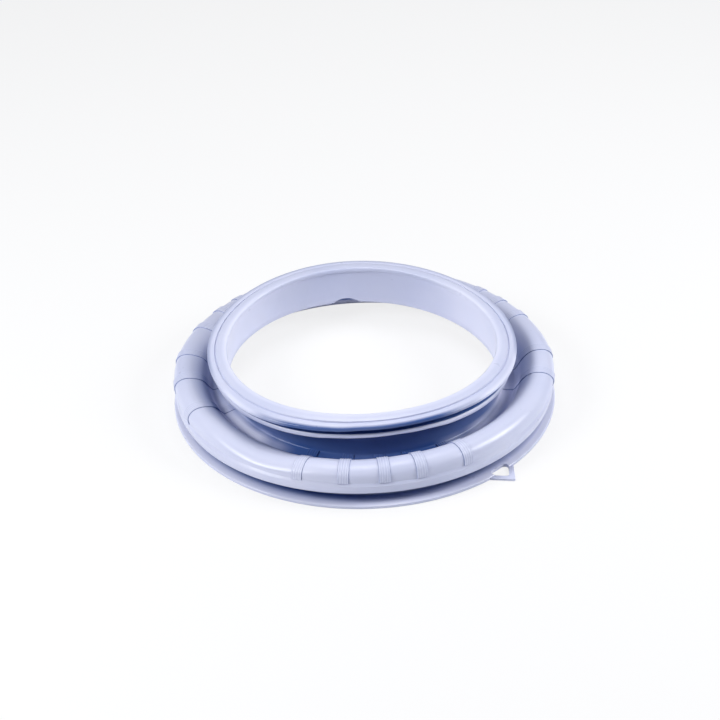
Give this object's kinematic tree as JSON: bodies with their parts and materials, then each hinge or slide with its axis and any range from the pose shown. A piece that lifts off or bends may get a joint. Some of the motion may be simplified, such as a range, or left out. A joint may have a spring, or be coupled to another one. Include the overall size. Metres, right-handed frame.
{
  "type": "washing machine door seal",
  "caption": "Round rubber bellows that joins a front-loading washing machine's drum tub to the cabinet's door opening, with a door lip, clamp grooves, a hollow fold and a pull tab.",
  "frame": {"origin": "centre of the tub flange's flat underside, on the seal's axis", "axes": "+Z along the seal's axis, from the tub flange up to the door lip; -Y is the side of the picture's viewer, and the pull tab lies between -Y and +X"},
  "size_m": [0.38, 0.38, 0.0636],
  "materials": {
    "rubber": "semi-gloss moulded grey rubber with a cool lavender tint"
  },
  "bodies": {
    "root": {"door_seal": "rubber"}
  },
  "joints": []
}
